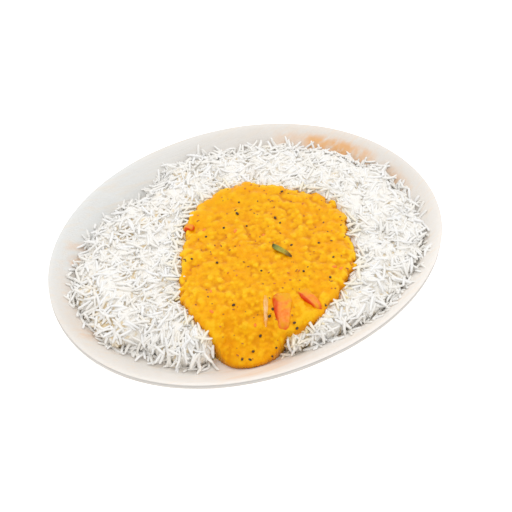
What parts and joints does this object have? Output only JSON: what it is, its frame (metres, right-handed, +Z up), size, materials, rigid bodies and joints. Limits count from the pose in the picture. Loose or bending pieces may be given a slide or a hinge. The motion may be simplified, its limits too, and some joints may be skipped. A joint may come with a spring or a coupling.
{
  "type": "plate of rice and lentil curry",
  "caption": "Oval palm-leaf plate heaped with boiled white rice, with yellow lentil curry, tomato pieces and a curry leaf on top.",
  "frame": {"origin": "under the middle of the plate, on the surface it rests on", "axes": "+X along the plate's length, +Y to the back, +Z up"},
  "size_m": [0.26, 0.2074, 0.0292],
  "materials": {
    "palm_leaf": "dry pressed leaf with fine fibres, matte",
    "rice": "moist boiled grains",
    "curry": "thick, lumpy and glossy",
    "tomato": "wet cooked tomato",
    "onion": "soft and translucent",
    "curry_leaf": "cooked leaf, slightly glossy"
  },
  "bodies": {
    "root": {"plate": "palm_leaf", "rice": "rice", "curry": "curry", "tomato_wedge": "tomato", "tomato_piece": "tomato", "tomato_bit": "tomato", "onion_strip": "onion", "leaf": "curry_leaf"}
  },
  "joints": []
}
